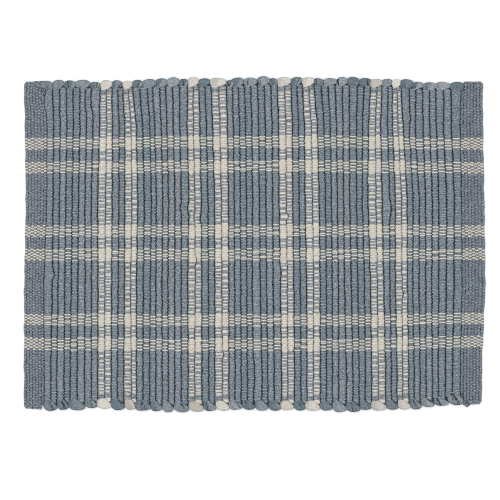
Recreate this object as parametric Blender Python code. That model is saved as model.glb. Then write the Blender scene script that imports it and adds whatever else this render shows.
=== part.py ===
"""Ribbed cotton placemat, lying flat.

Soft strips of cloth, the weft, run across the mat and stand up as 64 ribs. Fine cotton warp yarns run along
it and bind them. Each strip turns back at the mat's long sides, so those sides are a row of soft loops. The
two short ends are headings, a thinner plain weave with a fine weft.

The mat is one cloth and so one solid. It lies on its flat underside: +X runs along the mat, across the ribs,
+Y runs along the ribs, +Z points up, and the origin is under the middle of the mat.
"""

from collections import namedtuple

import bpy
import numpy as np

MM = 0.001

# Heights above the surface that the mat lies on, in millimetres.
RIB_CROWN = 4.8
RIB_GROOVE = 3.0
HEADING = 2.8
EDGE = 1.6  # the upright rim under the rounded edges

# Across one rib, from its left-hand groove: the share of its width, and of its height over the groove.
RIB_PROFILE = ((0.0, 0.0), (0.3, 1.0), (0.7, 1.0))

# The rounded ends of the ribs: millimetres in from the edge, and the share of the full height over the rim.
END_PROFILE = ((0.0, 0.0), (1.2, 0.7), (3.5, 1.0))
HEADING_ROUNDING = 1.5  # the heading's outer edge, in millimetres

# The loops stand out from the notches between them by this much, in millimetres.
LOOP_DEPTH = 1.3

# Where the bands are measured: distances from the middle of the mat along its ribs, in millimetres.
LEVELS = (160.0, 119.5, 44.5, -40.5, -125.5)

# Where the first rib begins: how far its left-hand side is from the middle of the mat at the five levels.
RIBS_BEGIN = (-208.7, -207.5, -207.8, -211.0, -210.4)

# The bands of ribs from left to right. Each row gives the strip's colour, the number of ribs, and how far the
# band's right-hand side is from the middle of the mat at each of the five levels, in millimetres.
Band = namedtuple("Band", "colour ribs rim top upper lower bottom")
BANDS = (
    Band("blue", 8, -154.5, -155.0, -157.0, -156.7, -156.9),
    Band("cream", 2, -142.8, -142.2, -142.4, -143.0, -143.4),
    Band("blue", 2, -132.4, -129.8, -130.0, -130.2, -131.0),
    Band("cream", 2, -122.5, -118.4, -116.8, -118.2, -118.2),
    Band("blue", 8, -67.0, -67.5, -65.8, -67.0, -66.6),
    Band("cream", 2, -55.8, -54.8, -53.4, -53.0, -52.8),
    Band("blue", 2, -43.8, -42.2, -40.2, -40.0, -40.0),
    Band("cream", 2, -28.4, -27.2, -26.2, -25.8, -25.8),
    Band("blue", 8, 22.4, 23.8, 24.2, 25.6, 26.8),
    Band("cream", 2, 36.2, 37.6, 38.0, 39.0, 39.8),
    Band("blue", 2, 47.4, 49.6, 50.2, 51.8, 52.2),
    Band("cream", 2, 59.0, 62.6, 64.4, 65.4, 65.6),
    Band("blue", 8, 115.8, 113.6, 113.0, 115.6, 116.8),
    Band("cream", 2, 127.2, 125.8, 127.2, 129.0, 130.8),
    Band("blue", 2, 137.4, 137.6, 140.4, 140.4, 142.2),
    Band("cream", 2, 145.6, 148.2, 152.4, 152.6, 154.0),
    Band("blue", 8, 206.2, 205.2, 206.6, 207.2, 205.4),
)

# The two short ends: how far each is from the middle of the mat at the same five levels, in millimetres.
LEFT_END = (-231.0, -230.1, -229.0, -230.7, -230.9)
RIGHT_END = (228.1, 228.3, 229.7, 230.8, 227.2)

# The two long sides bow out a little. Each row is a place along the mat and how far the far and the near side
# are from the middle there, in millimetres.
Side = namedtuple("Side", "along far near")
SIDES = (
    Side(-231, 161.9, -163.6),
    Side(-195, 164.2, -165.9),
    Side(-155, 163.8, -164.0),
    Side(-115, 164.6, -165.8),
    Side(-80, 166.8, -167.8),
    Side(-20, 166.8, -165.9),
    Side(10, 167.8, -165.9),
    Side(95, 167.4, -167.4),
    Side(145, 165.4, -165.2),
    Side(165, 162.9, -163.9),
    Side(206, 162.5, -160.3),
    Side(231, 162.4, -159.0),
)

# Rows of the surface between the rounded ends of the ribs, in millimetres from the middle of the mat.
ROWS = (150.0, 119.5, 82.0, 44.5, 2.0, -40.5, -83.0, -125.5, -148.0)

COLOURS = {"blue": (0.145, 0.188, 0.235, 1.0), "cream": (0.66, 0.61, 0.52, 1.0)}
ROUGHNESS = 0.9


def at_level(values, y):
    """A measure that is given at the five levels, at any distance y along the ribs."""
    return np.interp(y, LEVELS[::-1], values[::-1])


def loop_sizes(ribs, far_side):
    """How many ribs each loop of a band joins. A strip goes up one rib and down the next, so the near side
    joins them in pairs from the first. On the far side the pairs start at the second rib, and the first and
    the last rib end alone, except in a band of two, whose strip goes round in a ring."""
    if far_side and ribs > 2:
        return [1] + [2] * ((ribs - 2) // 2) + [1]
    return [2] * (ribs // 2)


def notched_grooves(far_side):
    """The numbers of the grooves, counted from the left, where one loop of this side ends."""
    grooves = [0]
    for band in BANDS:
        for size in loop_sizes(band.ribs, far_side):
            grooves.append(grooves[-1] + size)
    return set(grooves)


# A line that runs along the ribs: its place at the five levels, its height in millimetres, the number of the
# groove that it lies in, if any, and the colour of the cloth to its right.
Line = namedtuple("Line", "place height groove colour")


def lines():
    """The lines that the upper surface is drawn with, from left to right."""
    left_end, right_end = np.array(LEFT_END), np.array(RIGHT_END)
    found = [
        Line(left_end, EDGE, None, "blue"),
        Line(left_end + HEADING_ROUNDING, HEADING, None, "blue"),
    ]
    left, groove = np.array(RIBS_BEGIN), 0
    for band in BANDS:
        right = np.array(band[2:])
        for rib in range(band.ribs):
            for across, up in RIB_PROFILE:
                place = left + (right - left) * (rib + across) / band.ribs
                height = RIB_GROOVE + (RIB_CROWN - RIB_GROOVE) * up
                found.append(Line(place, height, None if up else groove, band.colour))
            groove += 1
        left = right
    found += [
        Line(left, RIB_GROOVE, groove, "blue"),
        Line(right_end - HEADING_ROUNDING, HEADING, None, "blue"),
        Line(right_end, EDGE, None, "blue"),
    ]
    return found


def side_at(x, far_side, notched):
    """The edge of the cloth on one long side, in millimetres from the middle."""
    edge = np.interp(x, [s.along for s in SIDES], [s.far if far_side else s.near for s in SIDES])
    return edge - (LOOP_DEPTH if notched else 0.0) * (1 if far_side else -1)


def surface_points():
    """The upper surface as a grid: each line's points, from the far side of the mat to the near side."""
    far_notches, near_notches = notched_grooves(True), notched_grooves(False)
    grid = []
    for line in lines():
        far = side_at(at_level(line.place, LEVELS[0]), True, line.groove in far_notches)
        near = side_at(at_level(line.place, LEVELS[-1]), False, line.groove in near_notches)
        ends = [(step, EDGE + (line.height - EDGE) * share) for step, share in END_PROFILE]
        points = [(far - step, z) for step, z in ends]
        points += [(y, line.height) for y in ROWS]
        points += [(near + step, z) for step, z in reversed(ends)]
        grid.append([(at_level(line.place, y), y, z) for y, z in points])
    return np.array(grid)


def cloth_mesh():
    """One closed body: the ribbed surface, the upright rim, and the flat underside in long strips."""
    top = surface_points()
    across, along = top.shape[:2]
    number = np.arange(across * along).reshape(across, along)
    rim = np.concatenate([number[:, 0], number[-1, 1:], number[-2::-1, -1], number[0, -2:0:-1]])
    foot = {int(edge): across * along + i for i, edge in enumerate(rim)}
    points = np.concatenate([top.reshape(-1, 3), top.reshape(-1, 3)[rim] * (1, 1, 0)])

    faces = []
    for i in range(across - 1):
        for j in range(along - 1):
            faces.append([number[i, j], number[i, j + 1], number[i + 1, j + 1], number[i + 1, j]])
    face_colours = [line.colour for line in lines()[:-1] for _ in range(along - 1)]
    for a, b in zip(rim, np.roll(rim, -1)):
        faces.append([a, b, foot[b], foot[a]])
    for i in range(across - 1):
        left = number[0, :] if i == 0 else number[i, [0, -1]]
        right = number[-1, :] if i == across - 2 else number[i + 1, [0, -1]]
        faces.append([foot[edge] for edge in (*right, *left[::-1])])

    mesh = bpy.data.meshes.new("woven_mat")
    mesh.from_pydata((points * MM).tolist(), [], [[int(v) for v in face] for face in faces])
    for colour in COLOURS:
        mesh.materials.append(cotton(colour))
    for face, colour in zip(mesh.polygons, face_colours):
        face.material_index = list(COLOURS).index(colour)
    return mesh


def cotton(colour):
    material = bpy.data.materials.new(f"{colour}_cotton")
    material.use_nodes = True
    shader = material.node_tree.nodes["Principled BSDF"]
    shader.inputs["Base Color"].default_value = COLOURS[colour]
    shader.inputs["Roughness"].default_value = ROUGHNESS
    shader.inputs["Metallic"].default_value = 0.0
    return material


for leftover in list(bpy.data.objects):
    bpy.data.objects.remove(leftover)

mat = bpy.data.objects.new("woven_mat", cloth_mesh())
mat.data.shade_smooth()
mat.data.set_sharp_from_angle(angle=np.radians(60))
bpy.context.scene.collection.objects.link(mat)
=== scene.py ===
"""The finished look of the ribbed cotton placemat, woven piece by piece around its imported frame.

Soft strips of cotton cloth run across the mat and stand up as 64 ribs. Each strip turns back at the long
sides in a soft loop. Fine cotton warp yarns run the length of the mat, over one rib and under the next, and
their neighbours do the opposite. At the two short ends they cross a fine weft instead: those are the
headings.

All sizes are in millimetres in the frame's own axes, and become metres where a mesh is made: +X runs along
the mat, +Y along its ribs and +Z up. The tables of bands, sides and ends are those of the CAD part.
"""

from collections import namedtuple

import bpy
import numpy as np
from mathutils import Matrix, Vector


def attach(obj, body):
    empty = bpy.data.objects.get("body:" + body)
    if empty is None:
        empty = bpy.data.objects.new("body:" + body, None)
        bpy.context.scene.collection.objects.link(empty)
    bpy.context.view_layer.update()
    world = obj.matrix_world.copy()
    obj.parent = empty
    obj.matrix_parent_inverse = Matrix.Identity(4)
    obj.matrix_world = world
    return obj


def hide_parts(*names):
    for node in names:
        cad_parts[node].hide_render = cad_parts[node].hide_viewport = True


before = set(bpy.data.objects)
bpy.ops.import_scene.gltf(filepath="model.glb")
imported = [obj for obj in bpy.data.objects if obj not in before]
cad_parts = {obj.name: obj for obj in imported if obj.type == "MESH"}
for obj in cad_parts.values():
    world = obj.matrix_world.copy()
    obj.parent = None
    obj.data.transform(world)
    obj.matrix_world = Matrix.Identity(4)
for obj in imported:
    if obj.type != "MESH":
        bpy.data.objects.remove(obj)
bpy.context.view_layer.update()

MM = 0.001
CLOTH = "woven_mat"

# ---------------------------------------------------------------- the cloth's outline and its bands

LEVELS = (160.0, 119.5, 44.5, -40.5, -125.5)
RIBS_BEGIN = (-208.7, -207.5, -207.8, -211.0, -210.4)

Band = namedtuple("Band", "colour ribs rim top upper lower bottom")
BANDS = (
    Band("blue", 8, -154.5, -155.0, -157.0, -156.7, -156.9),
    Band("cream", 2, -142.8, -142.2, -142.4, -143.0, -143.4),
    Band("blue", 2, -132.4, -129.8, -130.0, -130.2, -131.0),
    Band("cream", 2, -122.5, -118.4, -116.8, -118.2, -118.2),
    Band("blue", 8, -67.0, -67.5, -65.8, -67.0, -66.6),
    Band("cream", 2, -55.8, -54.8, -53.4, -53.0, -52.8),
    Band("blue", 2, -43.8, -42.2, -40.2, -40.0, -40.0),
    Band("cream", 2, -28.4, -27.2, -26.2, -25.8, -25.8),
    Band("blue", 8, 22.4, 23.8, 24.2, 25.6, 26.8),
    Band("cream", 2, 36.2, 37.6, 38.0, 39.0, 39.8),
    Band("blue", 2, 47.4, 49.6, 50.2, 51.8, 52.2),
    Band("cream", 2, 59.0, 62.6, 64.4, 65.4, 65.6),
    Band("blue", 8, 115.8, 113.6, 113.0, 115.6, 116.8),
    Band("cream", 2, 127.2, 125.8, 127.2, 129.0, 130.8),
    Band("blue", 2, 137.4, 137.6, 140.4, 140.4, 142.2),
    Band("cream", 2, 145.6, 148.2, 152.4, 152.6, 154.0),
    Band("blue", 8, 206.2, 205.2, 206.6, 207.2, 205.4),
)

LEFT_END = (-231.0, -230.1, -229.0, -230.7, -230.9)
RIGHT_END = (228.1, 228.3, 229.7, 230.8, 227.2)

Side = namedtuple("Side", "along far near")
SIDES = (
    Side(-231, 161.9, -163.6),
    Side(-195, 164.2, -165.9),
    Side(-155, 163.8, -164.0),
    Side(-115, 164.6, -165.8),
    Side(-80, 166.8, -167.8),
    Side(-20, 166.8, -165.9),
    Side(10, 167.8, -165.9),
    Side(95, 167.4, -167.4),
    Side(145, 165.4, -165.2),
    Side(165, 162.9, -163.9),
    Side(206, 162.5, -160.3),
    Side(231, 162.4, -159.0),
)

# How wide the ribs of each band are beside each other, at up to five distances along them.
WIDTHS_AT = (44.5, -40.5, -125.5, 112.0, 145.0)
RIB_WIDTHS = {
    0: (
        (6.3, 6.3, 6.3, 6.3, 6.3, 6.3, 6.3, 6.3),
        (8.8, 5.6, 6.6, 6.5, 6.5, 7.2, 6.4, 6.3),
        (6.6, 5.9, 7.2, 6.0, 6.9, 7.4, 6.7, 6.3),
    ),
    1: ((8.0, 6.7), (7.0, 6.8), (7.1, 6.8)),
    2: ((6.7, 5.7), (6.6, 6.3), (6.2, 6.3)),
    3: ((7.3, 5.9), (6.2, 5.9), (7.5, 5.0)),
    4: (
        (6.4, 7.2, 4.8, 6.5, 5.7, 6.4, 6.4, 7.5),
        (6.7, 6.9, 5.4, 6.1, 5.7, 6.6, 6.4, 6.4),
        (6.5, 6.6, 6.3, 6.2, 6.1, 6.4, 6.5, 6.8),
    ),
    5: ((6.0, 6.4), (7.2, 6.1), (6.6, 7.2)),
    6: ((6.7, 6.5), (6.8, 6.2), (7.1, 6.0)),
    7: ((6.9, 7.1), (7.0, 6.9), (7.4, 6.3)),
    8: (
        (5.8, 6.0, 6.1, 6.1, 6.8, 6.6, 6.6, 6.4),
        (5.6, 6.0, 6.0, 5.2, 8.0, 6.2, 6.5, 7.1),
        (6.0, 6.0, 6.0, 5.9, 8.4, 5.6, 6.2, 7.3),
    ),
    9: ((7.4, 6.5), (6.9, 6.2), (6.1, 6.6)),
    10: ((6.3, 5.8), (6.5, 6.3), (6.2, 5.9)),
    11: ((7.6, 6.7), (7.1, 6.5), (6.1, 6.8)),
    12: (
        (6.3, 5.9, 5.9, 6.2, 6.1, 6.8, 5.8, 5.5),
        (6.1, 5.8, 6.1, 6.0, 6.7, 6.4, 6.6, 5.8),
        (6.0, 5.9, 6.1, 7.5, 6.6, 6.1, 6.2, 6.2),
    ),
    13: ((8.2, 6.1), (6.9, 6.5), (6.7, 7.4)),
    14: ((7.7, 5.4), (6.0, 5.4), (5.9, 5.9)),
    15: ((6.3, 5.7), (6.8, 5.4), (5.8, 6.4)),
    16: (
        (5.8, 6.3, 6.2, 6.9, 6.3, 8.1, 7.5, 7.2),
        (5.3, 6.5, 6.9, 5.9, 7.2, 7.7, 7.8, 8.3),
        (5.3, 5.9, 6.0, 6.4, 5.8, 7.2, 7.1, 7.8),
        (6.0, 5.8, 8.2, 6.6, 6.7, 7.3, 7.9, 8.8),
        (8.2, 6.0, 6.7, 6.6, 6.1, 7.9, 7.3, 9.4),
    ),
}

# Where a strip ends inside the cloth, the next one overlaps it and the rib swells or swerves. Each row gives
# the groove that moves, counted from the left, where along the ribs, over what half length, and by how much.
Join = namedtuple("Join", "groove y half_length shift")
JOINS = (
    Join(0, 142, 9, -2.4),
    Join(6, 143, 12, -1.3),
    Join(7, 144, 11, -2.4),
    Join(1, -30, 5, 1.6),
    Join(21, 37, 4, -1.4),
    Join(22, 36, 4, -1.0),
    Join(24, 26, 4, -1.3),
    Join(23, 27, 4, -0.6),
    Join(23, -16, 4, 1.5),
    Join(57, 126, 4, 1.1),
    Join(37, 28, 3, 1.8),
    Join(36, -28, 6, 1.0),
    Join(53, 36, 7, 1.6),
    Join(50, 65, 4, -1.2),
    Join(55, -49, 3, 1.4),
    Join(27, -110, 4, 1.3),
    Join(32, -130, 14, 1.2),
    Join(46, -134, 4, 1.2),
)

# The warp from the far side to the near side: the yarns' colour, how many there are, and where they end at
# their near side. The first ones begin at FAR_YARN.
Warp = namedtuple("Warp", "colour yarns near")
FAR_YARN = 154.6
WARP = (
    Warp("blue", 36, 106.4),
    Warp("cream", 8, 94.7),
    Warp("blue", 8, 82.6),
    Warp("cream", 8, 70.9),
    Warp("blue", 36, 19.1),
    Warp("cream", 8, 7.3),
    Warp("blue", 8, -4.3),
    Warp("cream", 8, -16.4),
    Warp("blue", 36, -69.6),
    Warp("cream", 8, -81.2),
    Warp("blue", 8, -93.3),
    Warp("cream", 8, -105.7),
    Warp("blue", 36, -155.2),
)
FAR_STRAIGHT, NEAR_STRAIGHT = 163.0, -165.0  # the sides, where the yarns would run as straight as the table
BOW_FADES = 4  # how fast the yarns straighten away from the bowed sides

RIB_TOP = 4.8
HEADING_TOP = 2.8
YARN_THICKNESS = 0.8
YARN_WIDTHS = {"blue": 1.5, "cream": 1.8, "heading": 1.68}  # on blue ribs, on cream ribs, on the fine weft
SPREAD_YARN = 1.0  # half the width of a yarn where it dives between two ribs and meets its neighbours
YARN_FOOT, WEFT_FOOT = 0.02, 0.03  # how low they reach over the surface that the mat lies on
PICKS = (7, 7)  # of the fine weft, in the left and the right heading
PICK_WANDER = 0.17  # how far a yarn's dive between two picks wanders
CORNER, CORNER_YARNS = 2.6, 2.4  # the rounding of the corners: its size, and how many yarns it takes in
OUTERMOST = 0.3  # where the outermost yarn lies in that rounding, in yarns from the side
HEADING_EDGE = 0.5  # from the outermost yarn to the heading's side

# How far the cloth strays from an even weave, and how long its waves are. Each is three waves added up,
# whose shares of both are in WAVES.
Wander = namedtuple("Wander", "size length")
GROOVE_BENDS, GROOVE_RIPPLES = Wander(0.22, 37.0), Wander(0.09, 9.0)
END_WAVES = Wander(0.3, 40.0)
YARN_BENDS = Wander(0.16, 120.0)
RIB_HEIGHTS = Wander(0.09, 22.0)
STRIP_SWELLS = Wander(0.04, 9.0)  # as a share of the strip's section
YARN_TONES, STRIP_TONES = Wander(0.16, 60.0), Wander(0.2, 60.0)  # as tones, see below
WAVES = ((0.75, 1.0), (0.55, 0.53), (0.35, 0.29))
LOWER_RIBS = 0.07  # how much lower a rib may be, as a share
JITTER = 0.13  # how far a yarn crosses a rib off its line, and how far it bends there
FRAYED_JITTER, FRAYED_BEND = 1.5, 2.0  # how much more it does where the cloth frays beside a join
FRAYS_BEYOND = 1.0  # how far the cloth frays beyond a join
PITS, DEEPEST_PIT = 0.4, 0.7  # how much painted shade frayed cloth gets in its pits, and at most

# The grooves between neighbouring ribs: how wide they are, and how much painted shade darkens the yarns and
# cloth in them, which is less between two ribs of light cloth.
Groove = namedtuple("Groove", "gap depth")
BLUE_GROOVE, MIXED_GROOVE, CREAM_GROOVE = Groove(1.4, 1.0), Groove(1.3, 1.0), Groove(0.95, 0.74)
OUTER_GROOVE = Groove(0.6, 1.0)  # beside a heading
PICK_GROOVE = Groove(0.6, 0.64)  # between the picks of the fine weft
UNEVEN_PICKS, UNEVEN_RIBS = 0.35, 0.15  # how much the painted shade of a groove varies from yarn to yarn
UNEVEN_LIMITS = (0.2, 1.7)

# Tones run from 0, the darker of the two shades of a cotton, to 1, the lighter one.
RIB_TONES = (-0.05, 1.05)
CROSSING_TONES = 0.1  # how much the tone varies from crossing to crossing
PAINTED_LIGHT_ON_CREAM = 0.12  # painted light: how much lighter blue yarns are painted on cream cloth, which lights them through
DARKER_ON_THE_RIGHT = 0.28  # how much darker the right heading is than the left one

# By colour of the rib: how often two yarns draw together on it, and how far its outermost yarns are pushed
# together beside the loops, counted from the side. PAIR_DRAWS is how far each yarn of a pair moves.
PAIRED = {"blue": 0.15, "cream": 0.42}
PUSHED = {"blue": (0.0,), "cream": (0.0, 1.3, 2.1, 0.9, 0.3)}
PAIR_DRAWS = (0.5, 0.78)

SEED = 7

ribs_total = sum(band.ribs for band in BANDS)
yarns_total = sum(row.yarns for row in WARP)


def at_level(values, y):
    """A measure that is given at the five levels, at any distance y along the ribs."""
    return np.interp(y, LEVELS[::-1], values[::-1])


def side_line(x, far_side):
    """The edge of the cloth on one long side, at x."""
    return np.interp(x, [s.along for s in SIDES], [s.far if far_side else s.near for s in SIDES])


def bell(value, wide, power=2):
    """1 where the value is 0, and nearly 0 where it is much more than wide, either way."""
    return np.exp(-((value / wide) ** power))


def between(first, last, part):
    return first * (1 - part) + last * part


def wandering(rng, rows, at, wander):
    """One wandering line for each row, in smooth waves of about the size and length of this Wander."""
    found = np.zeros((rows,) + np.shape(at)[-1:])
    for share, wave in WAVES:
        phase = rng.uniform(0, 2 * np.pi, (rows, 1))
        stretch = rng.uniform(0.8, 1.25, (rows, 1))
        found = found + share * np.sin(2 * np.pi * np.asarray(at) * stretch / (wander.length * wave) + phase)
    return wander.size * found


def groove_places(y):
    """Where the lines between the ribs lie along the mat, for each groove at its own distances y."""
    rng = np.random.default_rng(SEED)
    lines = []
    left = at_level(RIBS_BEGIN, y)
    for number, band in enumerate(BANDS):
        right = at_level(band[2:], y)
        rows = sorted(zip(WIDTHS_AT, RIB_WIDTHS[number]))
        for rib in range(band.ribs):
            line = len(lines)
            parts = [sum(row[:rib]) / sum(row) for _, row in rows]
            part = np.interp(y[line], [at for at, _ in rows], parts)
            lines.append(left[line] + (right[line] - left[line]) * part)
        left = right
    lines.append(left[len(lines)])
    lines = np.array(lines)
    lines += wandering(rng, len(lines), y, GROOVE_BENDS) + wandering(rng, len(lines), y, GROOVE_RIPPLES)
    for join in JOINS:
        lines[join.groove] += join.shift * bell(y[join.groove] - join.y, join.half_length, 4)
    return lines


def straight_yarns():
    """Where each yarn would lie if the mat's long sides were straight, and its colour."""
    places, colours, begin = [], [], FAR_YARN
    for row in WARP:
        step = (row.near - begin) / row.yarns
        places += [begin + step * (k + 0.5) for k in range(row.yarns)]
        colours += [row.colour] * row.yarns
        begin = row.near
    return np.array(places), np.array(colours)


def bowed(places, x):
    """Lines that would lie at these places, bowed with the long sides, at x."""
    share = (places - NEAR_STRAIGHT) / (FAR_STRAIGHT - NEAR_STRAIGHT)
    far, near = side_line(x, True) - FAR_STRAIGHT, side_line(x, False) - NEAR_STRAIGHT
    return places + far * share**BOW_FADES + near * (1 - share) ** BOW_FADES


class Weave:
    """Every crossing of a yarn and a column. From left to right the columns are the picks of the left
    heading, the ribs, and the picks of the right heading. Each line lies at the left of the column with its
    number, and the last one at the right of the last column."""

    def __init__(self):
        rng = np.random.default_rng(SEED + 1)
        straight, self.yarn_colour = straight_yarns()
        self.colour = column_colours()
        self.heading = self.colour == "heading"
        self.columns = len(self.colour)
        self.place_lines(rng, straight)
        self.place_crossings(rng, straight)
        self.set_tops_and_tones(rng, straight)

    def place_lines(self, rng, straight):
        """Where each yarn meets each line, the groove's width there, and how dark its painted shade is."""
        nominal = np.tile(straight, (ribs_total + 1, 1))
        for _ in range(2):
            grooves = groove_places(nominal)
            nominal = bowed(straight, grooves)
        from_side = np.minimum(np.arange(yarns_total), np.arange(yarns_total)[::-1]) + OUTERMOST
        into = np.clip(1 - from_side / CORNER_YARNS, 0, 1)
        rounding = CORNER * (1 - np.sqrt(1 - into**2))
        left_end = at_level(LEFT_END, straight) + wandering(rng, 1, straight, END_WAVES)[0] + rounding
        right_end = at_level(RIGHT_END, straight) + wandering(rng, 1, straight, END_WAVES)[0] - rounding
        left = np.linspace(left_end, grooves[0], PICKS[0] + 1)[:-1]
        right = np.linspace(grooves[-1], right_end, PICKS[1] + 1)[1:]
        wander = rng.normal(0, PICK_WANDER, (sum(PICKS) - 2, yarns_total))
        left[1:] += wander[: PICKS[0] - 1]
        right[:-1] += wander[PICKS[0] - 1 :]
        self.line_x = np.vstack([left, grooves, right])
        self.gap, self.depth = np.array([self.groove_beside(line) for line in range(self.columns + 1)]).T
        self.line_y = bowed(straight, self.line_x)
        self.fan_out()
        self.line_y += wandering(rng, yarns_total, self.line_x.mean(1), YARN_BENDS).T

    def place_crossings(self, rng, straight):
        """Which yarns pass over which columns, and how far off their lines they lie there."""
        number = np.arange(self.columns)[:, None] - PICKS[0]
        self.over = (number + np.arange(yarns_total)[None, :]) % 2 == 1
        frayed = self.frayed(straight)
        self.jitter = rng.normal(0, JITTER, frayed.shape) * (1 + FRAYED_JITTER * frayed)
        self.bend = rng.normal(0, JITTER, frayed.shape) * (1 + FRAYED_BEND * frayed)
        # painted shade in the pits of frayed cloth beside a join
        self.painted_pit_shade = frayed * np.minimum(np.abs(rng.normal(0, PITS, frayed.shape)), DEEPEST_PIT)
        for column in range(PICKS[0], PICKS[0] + ribs_total):
            seen = np.flatnonzero(self.over[column])
            pushed = PUSHED[self.colour[column]]
            self.draw_together(rng, column, seen[len(pushed) : -len(pushed)])
            for k, push in enumerate(pushed):
                self.jitter[column, seen[k]] += push
                self.jitter[column, seen[-1 - k]] -= push

    def set_tops_and_tones(self, rng, straight):
        """How thick each column is at each yarn, and how light or dark each crossing is."""
        height = RIB_TOP * (1 - LOWER_RIBS * rng.random((self.columns, 1)))
        wave = wandering(rng, self.columns, straight, RIB_HEIGHTS)
        self.top = np.where(self.heading[:, None], HEADING_TOP, height + wave)
        unevenness = np.where(self.heading[:, None], UNEVEN_PICKS, UNEVEN_RIBS)
        uneven = rng.normal(1, 1, (self.columns, yarns_total)) * unevenness + 1 - unevenness
        self.uneven = np.clip(uneven, *UNEVEN_LIMITS)
        self.shade = rng.normal(0, CROSSING_TONES, (self.columns, yarns_total))
        # painted light: blue yarns on cream cloth are made lighter, for the light the cream cloth sends
        # through them
        self.shade[np.ix_(self.colour == "cream", self.yarn_colour == "blue")] += PAINTED_LIGHT_ON_CREAM
        self.tone = rng.uniform(*RIB_TONES, self.columns)
        self.shade[-PICKS[1] :] -= DARKER_ON_THE_RIGHT
        self.tone[-PICKS[1] :] -= DARKER_ON_THE_RIGHT

    def groove_beside(self, line):
        """The groove at this line."""
        beside = self.colour[max(line - 1, 0) : line + 1]
        headings, creams = np.sum(beside == "heading"), np.sum(beside == "cream")
        if headings:
            return PICK_GROOVE if headings == len(beside) else OUTER_GROOVE
        return (BLUE_GROOVE, MIXED_GROOVE, CREAM_GROOVE)[creams]

    def frayed(self, straight):
        """How frayed the cloth is at each crossing, from 0 to 1 where one strip ends and the next begins."""
        found = np.zeros((self.columns, yarns_total))
        for join in JOINS:
            near = bell(straight - join.y, join.half_length + FRAYS_BEYOND)
            for rib in (join.groove - 1, join.groove):
                if rib >= 0:
                    found[PICKS[0] + rib] = np.maximum(found[PICKS[0] + rib], near)
        return found

    def draw_together(self, rng, column, seen):
        """Here and there two neighbours among the yarns seen on a rib draw together."""
        k = 0
        while k < len(seen) - 1:
            if rng.random() < PAIRED[self.colour[column]]:
                draw = rng.uniform(*PAIR_DRAWS)
                self.jitter[column, seen[k]] -= draw
                self.jitter[column, seen[k + 1]] += draw
                k += 1
            k += 1

    def fan_out(self):
        """In the headings there are no loops, and the outer yarns spread to the very sides of the cloth."""
        line = np.arange(self.columns + 1)
        share = np.clip(np.maximum(PICKS[0] - line, line - PICKS[0] - ribs_total), 0, 1)
        for far_side, outer, anchor in ((True, 0, WARP[0].near), (False, -1, WARP[-2].near)):
            edge = side_line(self.line_x[:, outer], far_side) + (-HEADING_EDGE if far_side else HEADING_EDGE)
            stretch = 1 + share * ((edge - anchor) / (self.line_y[:, outer] - anchor) - 1)
            beyond = self.line_y - anchor
            moved = anchor + beyond * stretch[:, None]
            self.line_y = np.where(beyond > 0 if far_side else beyond < 0, moved, self.line_y)

    def centre(self, column):
        """The middle of a column at each yarn, and half its width between the grooves."""
        left = self.line_x[column] + self.gap[column] / 2
        right = self.line_x[column + 1] - self.gap[column + 1] / 2
        return (
            (left + right) / 2,
            (self.line_y[column] + self.line_y[column + 1]) / 2 + self.jitter[column],
            (right - left) / 2,
        )

    def middle(self, line):
        """How high a yarn lies as it passes between two columns."""
        beside = [c for c in (line - 1, line) if 0 <= c < self.columns]
        return np.mean([self.top[c] for c in beside], axis=0) / 2


# ---------------------------------------------------------------- meshes

# The flat layout of the tubes: the share of its length that each end takes, the gap between tubes in bands,
# and where the discs of the ends lie, half their length, and half their width in bands.
UV_ENDS, UV_GAP = 0.012, 0.03
UV_DISC_AT, UV_DISC_LENGTH, UV_DISC_WIDTH = 0.005, 0.004, 0.4


def full_turn(sides):
    """The angles of the points of a ring."""
    return 2 * np.pi * np.arange(sides) / sides


def tube_faces(tubes, rings, sides):
    """The faces of closed tubes whose points run tube by tube, ring by ring: the sides, then the ends."""
    number = np.arange(tubes * rings * sides).reshape(tubes, rings, sides)
    ring, following = number[:, :-1], number[:, 1:]
    quads = np.stack([ring, np.roll(ring, -1, 2), np.roll(following, -1, 2), following], -1).reshape(-1, 4)
    ends = np.concatenate([number[:, 0, ::-1], number[:, -1]])
    return quads, ends


def tube_uvs(tubes, rings, sides):
    """A flat layout with a band for each tube: its length runs along U."""
    along = UV_ENDS + (1 - 2 * UV_ENDS) * np.arange(rings) / (rings - 1)
    around = UV_GAP + (1 - 2 * UV_GAP) * np.arange(sides + 1) / sides
    u = np.broadcast_to(along[None, :, None], (tubes, rings, sides + 1))
    v = np.broadcast_to((np.arange(tubes)[:, None, None] + around) / tubes, u.shape)
    grid = np.stack([u, v], -1)
    ring, following = grid[:, :-1], grid[:, 1:]
    corners = [ring[:, :, :-1], ring[:, :, 1:], following[:, :, 1:], following[:, :, :-1]]
    turn = full_turn(sides)
    disc = np.stack([UV_DISC_LENGTH * np.cos(turn), UV_DISC_WIDTH / tubes * np.sin(turn)], -1)
    middle = (np.arange(tubes) + 0.5) / tubes
    first = np.stack([np.full(tubes, UV_DISC_AT), middle], -1)[:, None] + disc[::-1]
    last = np.stack([np.full(tubes, 1 - UV_DISC_AT), middle], -1)[:, None] + disc
    return np.concatenate([part.reshape(-1, 2) for part in (np.stack(corners, 3), first, last)])


class Soft:
    """The points of many closed tubes alike, and what the materials read at each point: its tone between its
    cotton's two shades, how sunk it is in the cloth, which sets its painted shade, and where it is around
    its tube and along it."""

    def __init__(self, rings, tone, sunk, around):
        shape = rings.shape[:3]
        self.rings, self.around = rings, around
        self.tone = np.broadcast_to(tone, shape)
        self.sunk = np.broadcast_to(sunk, shape)


def how_sunk(z, top):
    """0 at the upper and the lower surface of a cloth that is top thick, and 1 in the middle of it."""
    return np.clip(1 - np.abs(2 * z / top - 1), 0, 1)


def path_lengths(points):
    """How far along its path each point is, for many paths (paths, points, 3)."""
    step = np.linalg.norm(np.diff(points, axis=1), axis=2)
    return np.concatenate([np.zeros((len(points), 1)), np.cumsum(step, 1)], 1)


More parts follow.
